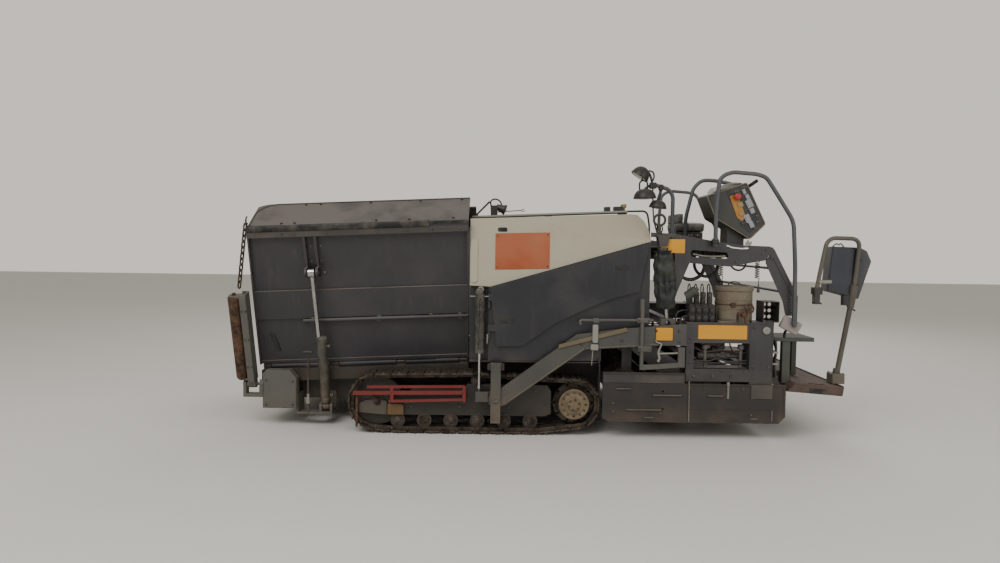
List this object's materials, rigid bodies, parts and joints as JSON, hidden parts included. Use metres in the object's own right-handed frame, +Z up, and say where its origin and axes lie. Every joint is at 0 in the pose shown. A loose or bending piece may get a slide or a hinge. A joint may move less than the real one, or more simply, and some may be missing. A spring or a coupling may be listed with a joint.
{
  "type": "tracked asphalt paver",
  "caption": "Small tracked asphalt paver with folding hopper wings, slat conveyors, augers, long tow arms and a towed extending screed under an open operator platform.",
  "frame": {"origin": "on the ground at the centre of the machine's length and width", "axes": "travel towards -X, the machine's left side towards -Y, Z up"},
  "size_m": [5.9399, 2.5, 2.4466],
  "materials": {
    "frame_grey": "worn satin",
    "beam_grey": "scuffed",
    "hopper_steel": "worn to bare steel with rust",
    "engine_dark": "dull",
    "hood_grey": "semi-gloss, dusty",
    "anthracite": "worn semi-gloss",
    "console_plastic": "moulded, dusty",
    "dark_steel": "dull",
    "rail_steel": "worn",
    "seat_black": "matte",
    "track_steel": "worn bright on the shoes",
    "tan_metal": "dusty",
    "guard_red": "faded",
    "tow_steel": "worn, brown-grey",
    "hose_rubber": "matte",
    "cylinder_paint": "scuffed",
    "rod_chrome": "polished",
    "roller_rust": "rusty",
    "screed_dark": "rusty, asphalt-stained",
    "screed_plate_steel": "worn bright",
    "canister_beige": "dusty",
    "walkway_brown": "rusty tread plate",
    "box_navy": "satin"
  },
  "bodies": {
    "machine": {"main_frame": "frame_grey", "tunnel_roof": "frame_grey", "front_beam": "beam_grey", "hopper_floor": "hopper_steel", "conveyor": "frame_grey", "engine_block": "engine_dark", "hood": "hood_grey", "body_panels": "anthracite", "hood_rack": "dark_steel", "lamp_mast": "dark_steel", "platform": "anthracite", "console": "console_plastic", "seat_box": "seat_black", "handrails": "rail_steel", "boarding_ladder": "dark_steel", "track_left": "track_steel", "track_right": "track_steel", "track_frames": "frame_grey", "sprockets": "tan_metal", "track_guards": "guard_red", "tow_posts": "tow_steel", "level_barrels": "tow_steel", "auger_frame": "anthracite", "hoses": "hose_rubber"},
    "screed": {"tow_arms": "tow_steel", "screed_frame": "screed_dark", "screed_plate": "screed_plate_steel", "screed_portals": "anthracite", "canister": "canister_beige", "valve_bank": "dark_steel", "sensor_brackets": "rail_steel", "walkway": "walkway_brown", "control_box": "box_navy"},
    "wing_left": {"wing_left": "anthracite"},
    "wing_barrel_left": {"wing_barrel_left": "cylinder_paint"},
    "wing_rod_left": {"wing_rod_left": "rod_chrome"},
    "push_bracket_left": {"push_bracket_left": "beam_grey"},
    "push_roller_left": {"push_roller_left": "roller_rust"},
    "side_door_left": {"side_door_left": "anthracite"},
    "auger_left": {"auger_left": "hopper_steel"},
    "extension_left": {"extension_left": "screed_dark", "end_plate_left": "screed_dark"},
    "wing_right": {"wing_right": "anthracite"},
    "wing_barrel_right": {"wing_barrel_right": "cylinder_paint"},
    "wing_rod_right": {"wing_rod_right": "rod_chrome"},
    "push_bracket_right": {"push_bracket_right": "beam_grey"},
    "push_roller_right": {"push_roller_right": "roller_rust"},
    "side_door_right": {"side_door_right": "anthracite"},
    "auger_right": {"auger_right": "hopper_steel"},
    "extension_right": {"extension_right": "screed_dark", "end_plate_right": "screed_dark"},
    "tow_points": {"tow_points": "tow_steel"},
    "lift_barrels": {"lift_barrels": "cylinder_paint"},
    "lift_rods": {"lift_rods": "rod_chrome"}
  },
  "joints": [
    {"name": "wing_fold_left", "type": "hinge", "parent": "machine", "child": "wing_left", "pos_m": [-0.781, -0.8, 0.645], "axis": [0.9989, 0, 0.0471], "range_deg": [0, 45]},
    {"name": "wing_barrel_swing_left", "type": "hinge", "parent": "machine", "child": "wing_barrel_left", "pos_m": [-2.14116, -0.862, 0.18041], "axis": [0.9989, 0, 0.0471], "range_deg": [0, 33.79]},
    {"name": "wing_rod_slide_left", "type": "slide", "parent": "wing_barrel_left", "child": "wing_rod_left", "axis": [-0.0458, -0.2359, 0.9707], "range_m": [-0.1873, 0]},
    {"name": "push_fold_left", "type": "hinge", "parent": "machine", "child": "push_bracket_left", "pos_m": [-2.85, -0.92, 0.4], "axis": [-1, 0, 0], "range_deg": [0, 106.4]},
    {"name": "push_roller_turn_left", "type": "hinge", "parent": "push_bracket_left", "child": "push_roller_left", "pos_m": [-2.912, -1.03313, 0.78367], "axis": [0, -0.2828, 0.9592], "continuous": true},
    {"name": "door_swing_left", "type": "hinge", "parent": "machine", "child": "side_door_left", "pos_m": [-0.588, -1.168, 1.1], "axis": [0, 0, -1], "range_deg": [0, 80]},
    {"name": "auger_turn_left", "type": "hinge", "parent": "machine", "child": "auger_left", "pos_m": [0.69, -0.6, 0.44], "axis": [0, 1, 0], "continuous": true},
    {"name": "extension_slide_left", "type": "slide", "parent": "screed", "child": "extension_left", "axis": [0, -1, 0], "range_m": [0, 0.6]},
    {"name": "wing_fold_right", "type": "hinge", "parent": "machine", "child": "wing_right", "pos_m": [-0.781, 0.8, 0.645], "axis": [-0.9989, 0, -0.0471], "range_deg": [0, 45]},
    {"name": "wing_barrel_swing_right", "type": "hinge", "parent": "machine", "child": "wing_barrel_right", "pos_m": [-2.14116, 0.862, 0.18041], "axis": [-0.9989, 0, -0.0471], "range_deg": [0, 33.79]},
    {"name": "wing_rod_slide_right", "type": "slide", "parent": "wing_barrel_right", "child": "wing_rod_right", "axis": [-0.0458, 0.2359, 0.9707], "range_m": [-0.1873, 0]},
    {"name": "push_fold_right", "type": "hinge", "parent": "machine", "child": "push_bracket_right", "pos_m": [-2.85, 0.92, 0.4], "axis": [1, 0, 0], "range_deg": [0, 106.4]},
    {"name": "push_roller_turn_right", "type": "hinge", "parent": "push_bracket_right", "child": "push_roller_right", "pos_m": [-2.912, 1.03313, 0.78367], "axis": [0, 0.2828, 0.9592], "continuous": true},
    {"name": "door_swing_right", "type": "hinge", "parent": "machine", "child": "side_door_right", "pos_m": [-0.588, 1.168, 1.1], "axis": [0, 0, 1], "range_deg": [0, 80]},
    {"name": "auger_turn_right", "type": "hinge", "parent": "machine", "child": "auger_right", "pos_m": [0.69, 0.6, 0.44], "axis": [0, 1, 0], "continuous": true},
    {"name": "extension_slide_right", "type": "slide", "parent": "screed", "child": "extension_right", "axis": [0, 1, 0], "range_m": [0, 0.6]},
    {"name": "tow_height", "type": "slide", "parent": "machine", "child": "tow_points", "axis": [0, 0, 1], "range_m": [-0.05, 0.05]},
    {"name": "screed_lift", "type": "hinge", "parent": "tow_points", "child": "screed", "pos_m": [-0.517, 0, 0.345], "axis": [0, 1, 0], "range_deg": [0, 2.4]},
    {"name": "lift_barrel_swing", "type": "hinge", "parent": "machine", "child": "lift_barrels", "pos_m": [0.99, 0, 1.79], "axis": [0, 1, 0], "range_deg": [-1.41, 0]},
    {"name": "lift_rod_slide", "type": "slide", "parent": "lift_barrels", "child": "lift_rods", "axis": [0.0732, 0, -0.9973], "range_m": [0, 0.0703]}
  ],
  "couplings": [
    {"joint": "wing_barrel_swing_left", "follows": "wing_fold_left", "ratio": 0.74428},
    {"joint": "wing_rod_slide_left", "follows": "wing_fold_left", "m_per_rad": -0.23591},
    {"joint": "wing_barrel_swing_right", "follows": "wing_fold_right", "ratio": 0.74428},
    {"joint": "wing_rod_slide_right", "follows": "wing_fold_right", "m_per_rad": -0.23591},
    {"joint": "lift_barrel_swing", "follows": "screed_lift", "ratio": -0.5457},
    {"joint": "lift_rod_slide", "follows": "screed_lift", "m_per_rad": 1.6299}
  ]
}
